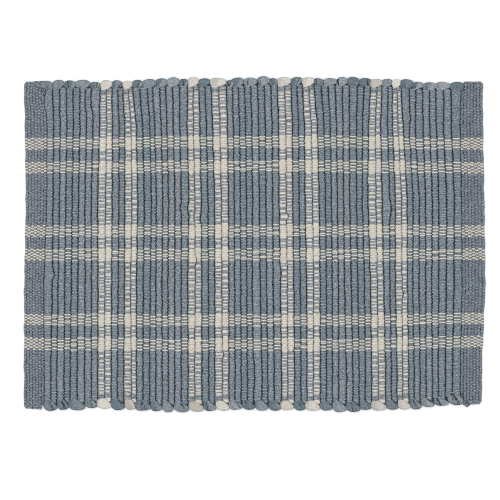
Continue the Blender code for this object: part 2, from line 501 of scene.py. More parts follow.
def soft_faces(soft):
    """The faces of one Soft: the points at their corners, how many corners each has, and the corners' UVs."""
    tubes, rings, sides = soft.rings.shape[:3]
    quads, ends = tube_faces(tubes, rings, sides)
    uvs = tube_uvs(tubes, rings, sides)
    if signed_volume(soft.rings[0]) < 0:
        on_quads, on_ends = uvs[: quads.size].reshape(-1, 4, 2), uvs[quads.size :].reshape(-1, sides, 2)
        quads, ends = quads[:, ::-1], ends[:, ::-1]
        uvs = np.concatenate([part[:, ::-1].reshape(-1, 2) for part in (on_quads, on_ends)])
    counts = np.repeat([4, sides], [len(quads), len(ends)])
    return np.concatenate([quads.ravel(), ends.ravel()]), counts, uvs


def add_attribute(mesh, name, kind, field, values):
    """One value or vector for each point of a mesh, for its material."""
    made = mesh.attributes.new(name, kind, "POINT")
    made.data.foreach_set(field, np.concatenate(values).astype(np.float32).ravel())


def make_piece(name, softs, material):
    """One mesh of closed tubes, from a list of Soft."""
    points = np.concatenate([soft.rings.reshape(-1, 3) for soft in softs]) * MM
    tubes_total = sum(len(soft.rings) for soft in softs)
    corners, counts, uvs = [], [], []
    tubes_before, points_before = 0, 0
    for soft in softs:
        soft_corners, soft_counts, soft_uvs = soft_faces(soft)
        soft_uvs[:, 1] = (tubes_before + soft_uvs[:, 1] * len(soft.rings)) / tubes_total
        corners.append(soft_corners + points_before)
        counts.append(soft_counts)
        uvs.append(soft_uvs)
        tubes_before += len(soft.rings)
        points_before += soft.tone.size
    corners, counts = np.concatenate(corners), np.concatenate(counts)

    mesh = bpy.data.meshes.new(name)
    mesh.vertices.add(len(points))
    mesh.vertices.foreach_set("co", points.astype(np.float32).ravel())
    mesh.loops.add(len(corners))
    mesh.loops.foreach_set("vertex_index", corners.astype(np.int32))
    mesh.polygons.add(len(counts))
    mesh.polygons.foreach_set("loop_start", (np.cumsum(counts) - counts).astype(np.int32))
    mesh.update(calc_edges=True)
    mesh.shade_smooth()
    layer = mesh.uv_layers.new(name="OFBake")
    layer.data.foreach_set("uv", np.concatenate(uvs).astype(np.float32).ravel())
    add_attribute(mesh, "tone", "FLOAT", "value", [soft.tone.ravel() for soft in softs])
    # sunk: how much painted shade each point gets
    add_attribute(mesh, "sunk", "FLOAT", "value", [soft.sunk.ravel() for soft in softs])
    add_attribute(mesh, "around", "FLOAT_VECTOR", "vector", [soft.around.reshape(-1, 3) for soft in softs])
    mesh.materials.append(material)
    mesh.validate()
    piece = bpy.data.objects.new(name, mesh)
    bpy.context.scene.collection.objects.link(piece)
    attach(piece, "root")
    return piece


def signed_volume(rings):
    """Six times the volume of one tube given as (rings, sides, 3), negative if it would be inside out."""
    points = rings.reshape(-1, 3) - rings.mean((0, 1))
    total = 0.0
    for faces in tube_faces(1, *rings.shape[:2]):
        for k in range(1, faces.shape[1] - 1):
            first, second, third = points[faces[:, 0]], points[faces[:, k]], points[faces[:, k + 1]]
            total += (first * np.cross(second, third)).sum()
    return total


def around_values(rings, lengths):
    """For the materials: where a point is around its tube, as a cosine and a sine, and how far along it."""
    turn = full_turn(rings.shape[2])
    found = np.empty(rings.shape)
    found[..., 0], found[..., 1] = np.cos(turn), np.sin(turn)
    found[..., 2] = lengths[:, :, None]
    return found


# ---------------------------------------------------------------- the warp yarns

# How far across a column a yarn is that goes over it, and one that goes under it, how far it has risen or
# dipped there, and how much of its bend it has.
Sample = namedtuple("Sample", "over under rise bend")
RIB_SAMPLES = (Sample(0.15, 0.14, 0.8, 1), Sample(0.5, 0.5, 1.0, 0), Sample(0.85, 0.86, 0.8, 1))
PICK_SAMPLES = (Sample(0.28, 0.3, 0.95, 0), Sample(0.72, 0.7, 0.95, 0))

# The end of a yarn, tucked in under the heading's last pick, from its tip: how far in from the end of the
# cloth and how high, for one that comes over that pick and one that comes under it, and half its width.
Tail = namedtuple("Tail", "in_over in_under high_over high_under half_width")
TAILS = (
    Tail(1.7, 0.9, 0.36, 0.50, 0.30),
    Tail(0.3, 0.8, 0.90, 0.42, 0.50),
    Tail(0.25, 1.0, 1.90, 0.40, 0.56),
)
# How much painted shade the tucked-in ends of the yarns get, under the heading's last pick.
TAIL_PAINTED_SHADE = 0.5

YARN_SIDES = 4
KEPT_OFF_LINE = 0.2  # how much of the jitter on both sides of a groove a yarn keeps as it dives there
YARN_WIDTHS_VARY = 0.07  # as a share
YARNS_VARY = 0.16  # how much their tones differ from the middle one


def yarn_paths(weave):
    """Every yarn's middle line (yarns, points, 3), half its width, how sunk it is and its shade there."""
    found = []
    half = YARN_THICKNESS / 2

    def add(*values):
        found.append([np.broadcast_to(value, (yarns_total,)) for value in values])

    def add_tail(tail, line, column, inward):
        over = weave.over[column]
        x = weave.line_x[line] + inward * np.where(over, tail.in_over, tail.in_under)
        z = np.where(over, tail.high_over, tail.high_under)
        add(x, weave.line_y[line], z, tail.half_width, TAIL_PAINTED_SHADE, 0)

    for tail in TAILS:
        add_tail(tail, 0, 0, 1)
    for column in range(weave.columns):
        left, jitter, shade = weave.line_x[column], weave.jitter[column], weave.shade[column]
        over = weave.over[column]
        end = np.where(over, weave.top[column] - half, half)
        if column > 0:
            y = weave.line_y[column] + KEPT_OFF_LINE * (weave.jitter[column - 1] + jitter)
            # painted shade: a yarn darkens where it dives between two columns, the more in a darker groove
            sunk = weave.depth[column] * weave.uneven[column]
            add(left, y, weave.middle(column), SPREAD_YARN, sunk, (weave.shade[column - 1] + shade) / 2)
        for sample in PICK_SAMPLES if weave.heading[column] else RIB_SAMPLES:
            part = np.where(over, sample.over, sample.under)
            x = left + (weave.line_x[column + 1] - left) * part
            line = between(weave.line_y[column], weave.line_y[column + 1], part)
            middle = between(weave.middle(column), weave.middle(column + 1), part)
            z = middle + (end - middle) * sample.rise
            # painted shade: the deeper a yarn lies in the cloth, the darker its colour is painted
            depth = between(weave.depth[column], weave.depth[column + 1], part)
            sunk = how_sunk(z, weave.top[column]) * depth
            half_width = YARN_WIDTHS[weave.colour[column]] / 2
            add(x, line + jitter + weave.bend[column] * sample.bend, z, half_width, sunk, shade)
    for tail in reversed(TAILS):
        add_tail(tail, weave.columns, weave.columns - 1, -1)
    found = np.array(found).transpose(2, 0, 1)
    return found[..., :3], found[..., 3], found[..., 4], found[..., 5]


def yarn_tubes(weave):
    """All the yarns, as tubes around their paths."""
    path, wide, sunk, shade = yarn_paths(weave)
    run = np.gradient(path, axis=1)
    run[..., 1] = 0
    run /= np.linalg.norm(run, axis=2, keepdims=True) + 1e-9
    up = np.stack([-run[..., 2], np.zeros_like(run[..., 0]), run[..., 0]], -1)
    turn = full_turn(YARN_SIDES)
    rng = np.random.default_rng(SEED + 2)
    wide = wide * (1 + YARN_WIDTHS_VARY * rng.standard_normal(wide.shape))
    thick = (wide * YARN_THICKNESS / YARN_WIDTHS["blue"])[..., None, None]
    rings = path[:, :, None] + up[:, :, None] * thick * np.sin(turn)[:, None]
    rings[..., 1] += wide[..., None] * np.cos(turn)
    rings[..., 2] = np.maximum(rings[..., 2], YARN_FOOT)
    tone = rng.normal(0.5, YARNS_VARY, (yarns_total, 1))
    tone = tone + wandering(rng, yarns_total, path[0, :, 0], YARN_TONES)
    tone = np.clip(tone + shade, 0, 1)
    return Soft(rings, tone[:, :, None], sunk[:, :, None], around_values(rings, path_lengths(path)))


def some_of(soft, chosen):
    """The chosen tubes of one Soft."""
    return Soft(soft.rings[chosen], soft.tone[chosen], soft.sunk[chosen], soft.around[chosen])


# ---------------------------------------------------------------- the weft: ribs and headings


def column_colours():
    found = ["heading"] * PICKS[0]
    for band in BANDS:
        found += [band.colour] * band.ribs
    return np.array(found + ["heading"] * PICKS[1])


# The rounded ends: the share of the section before, and how far beyond it, at the far and the near side. At
# the near side every second rib lies under a loop that leans over it, and its end leans after that.
End = namedtuple("End", "share far_out near_out near_lean")
RIB_ENDS = (End(0.92, 0.7, 1.3, 0.5), End(0.78, 0.5, 1.2, 0.6), End(0.5, 0.35, 0.8, 0.5))
HEADING_ENDS = (End(0.9, 0.35, 0.35, 0), End(0.5, 0.35, 0.35, 0))

RIB_SIDES, PICK_SIDES = 8, 6
WEFT_BOXINESS = (0.72, 0.78)  # across and upward, see section
RIB_CLEAR, PICK_CLEAR = 0.10, 0.5  # from the weft up to the cloth's surface, where no yarn lies on it
PRESSED, SWOLLEN, RIBS_VARY = 0.93, 1.11, 0.03  # a rib's width, as a share, under and between the yarns
RING_TONES = 0.06  # how much the tone varies from ring to ring


def section(sides, boxiness):
    """How far across and upward the points of a ring are, from -1 to 1. Boxiness is a power for each, and
    one below 1 makes a round section boxier."""
    turn = full_turn(sides)
    circle = zip((np.cos(turn), np.sin(turn)), boxiness)
    return [np.sign(value) * np.abs(value) ** power for value, power in circle]


def with_ends(values, first, last):
    return np.concatenate([[first], values, [last]])


def weft_rings(weave, columns, sides):
    """The strips of cloth, or the fine weft, in these columns: one ring at each yarn, pressed in under it and
    swelling between the yarns."""
    rng = np.random.default_rng(SEED + 3)
    across, upward = section(sides, WEFT_BOXINESS)
    rings, tones, sunks = [], [], []
    for column in columns:
        fine = weave.heading[column]
        x, y, half_width = weave.centre(column)
        painted_pit_shade, over, top = weave.painted_pit_shade[column], weave.over[column], weave.top[column]
        high = top - np.where(over, YARN_THICKNESS, PICK_CLEAR if fine else RIB_CLEAR)
        low = np.where(over, RIB_CLEAR, YARN_THICKNESS)
        middle, half_height = (high + low) / 2, (high - low) / 2
        if not fine:
            half_width = half_width * (np.where(over, PRESSED, SWOLLEN) + rng.normal(0, RIBS_VARY, len(x)))
        # the ends beyond the outermost yarns, rounded off at the far side and more pointed at the near side
        second = (column - PICKS[0]) % 2 == 1
        for end in HEADING_ENDS if fine else RIB_ENDS:
            x = with_ends(x, x[0], x[-1] + second * end.near_lean)
            y = with_ends(y, y[0] + end.far_out, y[-1] - end.near_out)
            painted_pit_shade = with_ends(painted_pit_shade, 0, 0)
            middle = with_ends(middle, middle[0], middle[-1])
            half_width = with_ends(half_width, half_width[0] * end.share, half_width[-1] * end.share)
            half_height = with_ends(half_height, half_height[0] * end.share, half_height[-1] * end.share)
        swell = 1 + wandering(rng, sides, y, STRIP_SWELLS).T
        ring = np.empty((len(x), sides, 3))
        ring[..., 0] = x[:, None] + half_width[:, None] * across * swell
        ring[..., 1] = y[:, None]
        ring[..., 2] = np.maximum(middle[:, None] + half_height[:, None] * upward * swell, WEFT_FOOT)
        rings.append(ring)
        # painted shade: the strip's sides darken toward the grooves, and frayed cloth in its pits
        depth = np.where(across < 0, weave.depth[column], weave.depth[column + 1])
        pit_shade_at_points = painted_pit_shade[:, None] * rng.random((len(x), sides))
        sunks.append(np.maximum(how_sunk(ring[..., 2], top.mean()) * depth, pit_shade_at_points))
        tone = weave.tone[column] + wandering(rng, 1, y, STRIP_TONES)[0]
        tones.append(tone + rng.normal(0, RING_TONES, len(y)))
    rings, tones = np.array(rings), np.clip(tones, 0, 1)[:, :, None]
    return Soft(rings, tones, np.array(sunks), around_values(rings, path_lengths(rings.mean(2))))


# ---------------------------------------------------------------- the loops at the long sides

# Each loop: where it begins and ends along the mat, how far out it reaches from the middle, how far in over
# its rib it begins, and the angle of its one deep fold, if it has one, in radians from the +X axis. The
# loops of one band stand together.
Loop = namedtuple("Loop", "left right reach inward fold", defaults=(0, None))
FAR_LOOPS = (
    ((-213.7, -202.0, 163.4), (-201.9, -190.6, 164.4), (-190.3, -179.0, 163.8),
     (-179.6, -164.6, 164.4), (-165.0, -154.4, 162.3)),
    ((-154.0, -142.8, 164.1),),
    ((-142.9, -132.4, 164.0),),
    ((-132.1, -122.3, 163.5),),
    ((-122.4, -112.0, 164.4), (-112.4, -98.6, 165.2), (-98.9, -87.0, 165.9),
     (-87.4, -75.6, 167.0), (-75.9, -66.9, 165.4)),
    ((-66.9, -56.2, 167.3),),
    ((-56.2, -44.3, 165.9),),
    ((-44.9, -28.3, 166.4),),
    ((-28.5, -20.9, 164.2), (-23.9, -11.2, 166.7), (-11.0, 2.2, 166.7),
     (2.6, 14.7, 168.0), (14.1, 22.4, 166.1)),
    ((22.5, 36.2, 167.2),),
    ((36.1, 47.8, 167.2),),
    ((47.2, 59.4, 167.2),),
    ((58.7, 68.8, 166.0), (68.9, 82.2, 166.2), (81.9, 92.4, 167.2),
     (92.1, 104.4, 167.3), (104.1, 117.0, 166.2)),
    ((114.6, 127.7, 165.2),),
    ((126.6, 137.4, 165.4),),
    ((137.1, 145.7, 165.2),),
    ((145.1, 158.4, 165.0), (158.1, 168.4, 162.5), (167.8, 182.0, 161.9),
     (181.1, 195.4, 162.3), (195.1, 208.8, 162.4)),
)
NEAR_LOOPS = (
    ((-211.2, -197.8, -166.4), (-197.4, -186.4, -165.4), (-186.3, -169.6, -165.8),
     (-169.9, -157.3, -163.6)),
    ((-157.9, -143.6, -164.2),),
    ((-143.5, -130.3, -165.7),),
    ((-129.9, -119.6, -165.2),),
    ((-120.3, -103.9, -166.2), (-103.9, -92.6, -166.7), (-92.2, -81.6, -167.8),
     (-80.9, -66.0, -167.8)),
    ((-66.0, -51.1, -167.2),),
    ((-51.1, -38.7, -166.6),),
    ((-38.9, -25.6, -166.2),),
    ((-25.9, -12.6, -165.3), (-12.3, -0.3, -165.4), (0.1, 13.2, -166.1),
     (13.8, 25.9, -166.3)),
    ((25.6, 38.8, -165.6),),
    ((39.1, 50.4, -166.1),),
    ((50.1, 64.9, -166.3),),
    ((64.9, 77.4, -166.1), (77.8, 91.4, -167.6), (91.1, 105.4, -167.5),
     (104.9, 116.4, -165.4)),
    ((116.1, 131.4, -166.1),),
    ((131.1, 143.4, -165.3),),
    ((143.1, 155.4, -165.0),),
    ((155.1, 166.4, -164.9), (166.1, 179.4, -162.6), (179.1, 193.4, -161.3),
     (192.6, 208.3, -160.6, 4.5, 1.05)),
)
LOOP_RINGS, LOOP_SIDES = 20, 44
LOOP_OVERLAP = 0.35  # how far neighbouring loops press into each other

CRISPNESS = {"blue": 1.0, "cream": 0.45}  # how sharply the loops of this colour fold
LOOP_SEEDS = {"blue": SEED + 11, "cream": SEED + 12}
LOOPS_VARY = 0.2  # how much their tones differ

# The fine weft of the right heading ends in a knot at the mat's near side: where it begins, how much narrower
# its neck is on either side, its height as a share of a loop's, its tone, and how sharply it folds.
KNOT = Loop(207.7, 215.5, -162.9)
KNOT_INNER, KNOT_NECK, KNOT_HEIGHT, KNOT_TONE, KNOT_CRISPNESS = -156.6, 1.2, 0.72, 0.9, 1.2

# How the loops of a side close. Each strip comes out of one rib and turns over the end of the next one, where
# its edge has come out to the full width at lean. Its left and its right shoulder begin to round off at
# left_round and right_round. These are shares of the loop's depth. Its outermost point is at peak, a share of
# its width. Its folds run at angles from folds_from to folds_to, in radians from the +X axis. Lighter is how
# much lighter the loops of that side are than their ribs, and faces how much its two faces differ at most.
Closing = namedtuple("Closing", "lean left_round right_round peak power folds_from folds_to lighter faces")
FAR_CLOSING = Closing(0.42, 0.58, 0.62, 0.5, 2.2, 0.5, 2.4, -0.08, 1.1)
NEAR_CLOSING = Closing(0.62, 0.45, 0.74, 0.5, 2.2, 0.3, 1.4, -0.30, 0.8)
KNOT_CLOSING = Closing(0.0, 0.3, 0.4, 0.5, 1.35, 0.3, 2.3, 0.0, 0.8)

# The form of every loop, in shares of its depth and of its height.
LOOP_BEGINS = 0.4  # how far in from the outermost yarn, in millimetres
LEFT_OUT, RIGHT_OUT = 0.4, 0.08  # where its left and its right edge have come out from the rib
PEAK_VARIES, PEAK_LIMITS = 0.07, (0.25, 0.75)  # its outermost point, in shares of its width
LOOP_TOPS = (0.98, 1.04)  # how high it is, in rib heights
TOP_IN_RIB, TOP_RISES = 0.82, 0.16  # the share of that height where it begins, and where it has it all
FALLS_FROM, FALL_POWER = 0.6, 2.2  # how it rounds off downward
LOOP_BOXINESS, LOOP_FULLNESS = (0.9, 0.74), 0.98
NARROW_END = 0.04  # how wide its last ring still is

# Its folds: how many, from 6 to 9, half their width in millimetres, and how deep they are, from 0 to 1.
FOLDS, FOLD_WIDTHS, FOLD_DEPTHS = (6, 10), (0.38, 0.6), (0.3, 0.75)
DEEP_FOLD_WIDTH, DEEP_FOLD_DEPTH = 0.5, 1.3
FOLDS_MEET = (1.0, 3.0)  # how far inside the loop's beginning, in millimetres
FOLDS_BEGIN, DEEPEST_FOLD = 0.25, 0.9  # where they are fully there, and how deep they are at most
FOLD_CUT = 0.6  # how far a full one cuts in, in millimetres
SMALLEST_FACES = 0.2  # how much the tones of its two faces differ at least
FACE_TURNS, FACE_EDGE = (0.9, 1.8), 0.25  # where one face becomes the other, and over how much, in radians
SOFT_WAVES, WAVES_PER_RADIAN, WAVES_PER_MM = Wander(0.25, 2.2), 3, 0.2

# Beyond its leaning edge it lies lower: where the edge is, how wide it is, how much lower, and from where on.
EDGE_LEAD, EDGE_WIDTH, EDGE_DROP, BEYOND_EDGE = 0.13, 0.15, 0.6, 0.02

# Its painted shade: at its sides, in its folds, which are dark above UPPER_FACE only, and where it lies low.
# Then the painted dark lines where it leaves the rib, where it turns under at its outer edge, and at its
# leaning edge.
SIDES_SUNK, FOLDS_SUNK, LOW_SUNK, UPPER_FACE = 0.85, 0.92, 0.72, 0.3
Dark = namedtuple("Dark", "sunk at wide")
SEAM, RIM, LEANING = Dark(0.75, 0.05, 0.05), Dark(0.35, 0.84, 0.16), Dark(0.85, 0.45, 0.3)
CRISP_RIM = 0.4  # how much more painted shade the rim of a crisp loop gets


def eased(value, full):
    """0 at 0 and 1 from full on, with a soft start and end."""
    part = np.clip(value / full, 0, 1)
    return part * part * (3 - 2 * part)


def rounded(value, begin, power):
    """1 up to begin, and then the quarter of a rounded square down to nearly 0 at 1."""
    part = np.clip((value - begin) / (1 - begin), 0, 1)
    return np.maximum((1 - part**power) ** (1 / power), NARROW_END)


def fold_depths(rng, loop, closing, angle, far):
    """How deep the folds of a loop are at points at these angles and distances from where the folds meet."""
    found = np.zeros_like(angle)
    for _ in range(rng.integers(*FOLDS)):
        at, wide = rng.uniform(closing.folds_from, closing.folds_to), rng.uniform(*FOLD_WIDTHS)
        found += rng.uniform(*FOLD_DEPTHS) * bell(far * (angle - at), wide)
    if loop.fold:
        found += DEEP_FOLD_DEPTH * bell(far * (angle - loop.fold), DEEP_FOLD_WIDTH)
    return np.clip(found, 0, DEEPEST_FOLD)


def turned_strip(rng, loop, rib_left, rib_right, inner, closing, crisp):
    """One loop: the points of its rings, from inside the rib to its outer edge, how sunk each is, how far out
    each ring is, and how each point's tone differs, as the strip shows both its faces."""
    share = (1 - np.cos(np.linspace(0, np.pi, LOOP_RINGS))) / 2
    inner = abs(inner) - LOOP_BEGINS - loop.inward
    y = inner + share * (abs(loop.reach) - inner)
    left = rib_left + (loop.left - LOOP_OVERLAP - rib_left) * eased(share, LEFT_OUT)
    right = rib_right + (loop.right + LOOP_OVERLAP - rib_right) * eased(share, RIGHT_OUT)
    peak = np.clip(closing.peak + rng.normal(0, PEAK_VARIES), *PEAK_LIMITS)
    peak = loop.left + (loop.right - loop.left) * peak
    left = peak + (left - peak) * rounded(share, closing.left_round, closing.power)
    right = peak + (right - peak) * rounded(share, closing.right_round, closing.power)
    top = RIB_TOP * rng.uniform(*LOOP_TOPS) * (TOP_IN_RIB + (1 - TOP_IN_RIB) * eased(share, TOP_RISES))
    down = rounded(share, FALLS_FROM, FALL_POWER)

    across, upward = section(LOOP_SIDES, LOOP_BOXINESS)
    ring = np.empty((LOOP_RINGS, LOOP_SIDES, 3))
    ring[..., 0] = ((left + right) / 2)[:, None] + ((right - left) / 2)[:, None] * across
    ring[..., 1] = y[:, None]
    ring[..., 2] = top[:, None] / 2 * (1 + down[:, None] * upward * LOOP_FULLNESS)
    # the folds fan out from where the strip leaves the rib
    from_x = ring[..., 0] - (rib_left + rib_right) / 2
    from_y = ring[..., 1] - inner + rng.uniform(*FOLDS_MEET)
    angle, far = np.arctan2(from_y, from_x), np.hypot(from_x, from_y)
    folds = fold_depths(rng, loop, closing, angle, far) * crisp * eased(share, FOLDS_BEGIN)[:, None]
    face = rng.uniform(SMALLEST_FACES, closing.faces)
    face = face * (0.5 - eased(angle - rng.uniform(*FACE_TURNS), FACE_EDGE))
    at = (angle * WAVES_PER_RADIAN + far * WAVES_PER_MM).ravel()
    waves = wandering(rng, 1, at, SOFT_WAVES).reshape(angle.shape)
    ring[..., 2] += upward * (waves * crisp - FOLD_CUT * folds)
    # beyond its leaning edge the strip lies low under the end of the next rib, with painted shade there
    beyond = np.clip((ring[..., 0] - rib_right) / max(loop.right - rib_right, 1.0), 0, 1)
    leaning = beyond > BEYOND_EDGE
    low = (1 - eased(share[:, None] - closing.lean * beyond + EDGE_LEAD, EDGE_WIDTH)) * leaning
    ring[..., 2] *= 1 - EDGE_DROP * low * np.clip(upward, 0, 1)
    ring[..., 2] = np.maximum(ring[..., 2], WEFT_FOOT)
    ring[..., 1] *= np.sign(loop.reach)
    # painted shade: the dark lines, and the shade at its sides, in its folds and under the next rib
    seam = SEAM.sunk * bell(share - SEAM.at, SEAM.wide)
    rim = (RIM.sunk + CRISP_RIM * crisp) * eased(share - RIM.at, RIM.wide)
    sunk = np.maximum.reduce([
        SIDES_SUNK * how_sunk(ring[..., 2], top[:, None]),
        FOLDS_SUNK * folds * (upward > UPPER_FACE),
        LOW_SUNK * low,
        LEANING.sunk * bell(low - LEANING.at, LEANING.wide) * leaning,
        np.broadcast_to(np.maximum(seam, rim)[:, None], low.shape),
    ])
    return ring, sunk, y, face


def loops_of(weave, colour):
    """The loops of one colour at both long sides."""
    rng = np.random.default_rng(LOOP_SEEDS[colour])
    rings, lengths, tones, sunks = [], [], [], []
    for yarn, table, closing in ((0, FAR_LOOPS, FAR_CLOSING), (-1, NEAR_LOOPS, NEAR_CLOSING)):
        column = PICKS[0]
        for band, loops in zip(BANDS, table):
            pairs = band_pairs(band, len(loops)) if band.colour == colour else []
            for row, (first, last) in zip(loops, pairs):
                x, y, half_width = (values[yarn] for values in weave.centre(column + first))
                edges = x - half_width, x + half_width
                ring, sunk, length, face = turned_strip(rng, Loop(*row), *edges, y, closing, CRISPNESS[colour])
                tone = (weave.tone[column + first] + weave.tone[column + last]) / 2 + closing.lighter
                tone = np.clip(tone + rng.normal(0, LOOPS_VARY) + face, 0, 1)
                # a far loop's points run the other way round from a near one's, so those are turned
                if signed_volume(ring) < 0:
                    ring, sunk, tone = ring[:, ::-1], sunk[:, ::-1], tone[:, ::-1]
                rings.append(ring)
                sunks.append(sunk)
                lengths.append(length)
                tones.append(tone)
            column += band.ribs
    rings = np.array(rings)
    return Soft(rings, np.array(tones), np.array(sunks), around_values(rings, np.array(lengths)))


def corner_knot():
    """The knot of the fine weft at the corner."""
    rng = np.random.default_rng(SEED + 20)
    edges = KNOT.left + KNOT_NECK, KNOT.right - KNOT_NECK
    ring, sunk, y, face = turned_strip(rng, KNOT, *edges, KNOT_INNER, KNOT_CLOSING, KNOT_CRISPNESS)
    ring[..., 2] *= KNOT_HEIGHT
    rings = ring[None]
    return Soft(rings, np.clip(KNOT_TONE + face, 0, 1)[None], sunk[None], around_values(rings, y[None]))


def band_pairs(band, loops):
    """The first and the last rib of each loop of a band, counted from the band's left. Where there is one
    loop more than pairs of ribs, the first and the last rib end alone."""
    if loops == band.ribs // 2:
        return [(k, k + 1) for k in range(0, band.ribs, 2)]
    inner = [(k, k + 1) for k in range(1, band.ribs - 1, 2)]
    return [(0, 0)] + inner + [(band.ribs - 1, band.ribs - 1)]


# ---------------------------------------------------------------- materials

# The noises that make up the cotton's grain, and how strong they are. Their scale is per metre of the mat, and
# that of FOLDS_IN_CLOTH is in the values that say where a point is around its tube.
Grain = namedtuple("Grain", "scale detail roughness strength", defaults=(1.0,))
MOTTLE = Grain(240.0, 3.0, 0.6, 0.35)
FLECKS = Grain(1000.0, 0.0, 0.5, 1.2)
FIBRES = Grain(1700.0, 2.0, 0.6, 1.2)
SPECKS, ALONG_YARNS = Grain(740.0, 0.0, 0.5), (0.8, 1.0, 1.0)
FOLDS_IN_CLOTH, AROUND_TUBES = Grain(2.2, 3.0, 0.55), (1.6, 1.6, 0.12)
WORN = 0.3  # how much of the worn shade shows
FULL_PAINTED_SHADE = 0.88  # from here on the painted shade is as dark as it gets

# The bump: its strength, its height in metres on yarns and on cloth, and what the plies and the fibres of a
# yarn, and the fibres of a cloth, add to it.
BUMP, YARN_BUMP, CLOTH_BUMP = 0.6, 0.00012, 0.0004
PLY_SHARE, YARN_FIBRES, CLOTH_FIBRES = 0.5, 0.8, 0.5

MATT_COTTON = {"Roughness": 0.92, "Specular IOR Level": 0.08, "Sheen Weight": 0.04, "Sheen Roughness": 0.6}

# The cottons lie between two shades, flecked with the worn shade and speckled. Where they are more sunk in
# the cloth than lit, they turn to the deep shade, a painted shade for the darkness of grooves, folds and
# crevices. Yarns are twisted, once in so many millimetres, and the others are woven cloth.
Cotton = namedtuple("Cotton", "dark light worn deep speckle twist lit", defaults=(None, 0.32))
COTTONS = {
    "blue_grey_yarn": Cotton((0.215, 0.255, 0.285), (0.30, 0.325, 0.36), (0.115, 0.14, 0.165),
                             (0.023, 0.036, 0.049), 1.5, 1.3),
    "blue_grey_cloth": Cotton((0.155, 0.205, 0.235), (0.28, 0.30, 0.325), (0.105, 0.14, 0.16),
                              (0.021, 0.034, 0.047), 1.5),
    "blue_grey_fold": Cotton((0.125, 0.163, 0.188), (0.325, 0.338, 0.35), (0.088, 0.12, 0.145),
                             (0.010, 0.018, 0.027), 0.7),
    "cream_yarn": Cotton((0.59, 0.562, 0.488), (0.65, 0.626, 0.56), (0.495, 0.46, 0.385),
                         (0.105, 0.095, 0.075), 0.4, 1.3, 0.45),
    "cream_cloth": Cotton((0.57, 0.535, 0.465), (0.63, 0.60, 0.54), (0.49, 0.45, 0.38),
                          (0.15, 0.13, 0.10), 0.45, None, 0.4),
    "cream_fold": Cotton((0.385, 0.362, 0.315), (0.63, 0.604, 0.545), (0.43, 0.39, 0.345),
                         (0.09, 0.078, 0.06), 0.35),
    "heading_weft": Cotton((0.155, 0.172, 0.20), (0.22, 0.236, 0.265), (0.115, 0.127, 0.15),
                           (0.015, 0.02, 0.03), 0.5, 2.0),
}


def feed(tree, socket, value):
    """Links the output of another node to a socket, or sets the socket to a number, a vector or a colour."""
    if isinstance(value, bpy.types.NodeSocket):
        tree.links.new(value, socket)
    else:
        socket.default_value = value


def node(tree, kind, inputs=(), **settings):
    """A node with these settings, and its inputs by name or number."""
    made = tree.nodes.new(kind)
    for name, value in settings.items():
        setattr(made, name, value)
    for name, value in dict(inputs).items():
        feed(tree, made.inputs[name], value)
    return made


def maths(tree, operation, *values):
    return node(tree, "ShaderNodeMath", enumerate(values), operation=operation).outputs[0]


def scaled(tree, vector, factors):
    """A vector with each of its parts multiplied by a factor of its own."""
    return node(tree, "ShaderNodeVectorMath", {0: vector, 1: factors}, operation="MULTIPLY").outputs[0]


def blend(tree, factor, first, second, mode="MIX"):
    inputs = {0: factor, 6: first, 7: second}
    return node(tree, "ShaderNodeMix", inputs, data_type="RGBA", blend_type=mode).outputs[2]


def noise(tree, vector, grain):
    inputs = {"Vector": vector, "Scale": grain.scale, "Detail": grain.detail, "Roughness": grain.roughness}
    return node(tree, "ShaderNodeTexNoise", inputs).outputs["Fac"]


def around_zero(tree, value, strength):
    """A noise, whose values lie around a half, as one around zero that is so many times as strong."""
    return maths(tree, "MULTIPLY", maths(tree, "SUBTRACT", value, 0.5), strength)


def attribute(tree, name, output):
    return node(tree, "ShaderNodeAttribute", attribute_name=name).outputs[output]


def plain_material(name, surface):
    """A material of one shader with these constants on its sockets."""
    material = bpy.data.materials.new(name)
    material.use_nodes = True
    shader = material.node_tree.nodes["Principled BSDF"]
    for socket, value in surface.items():
        shader.inputs[socket].default_value = value
    return material


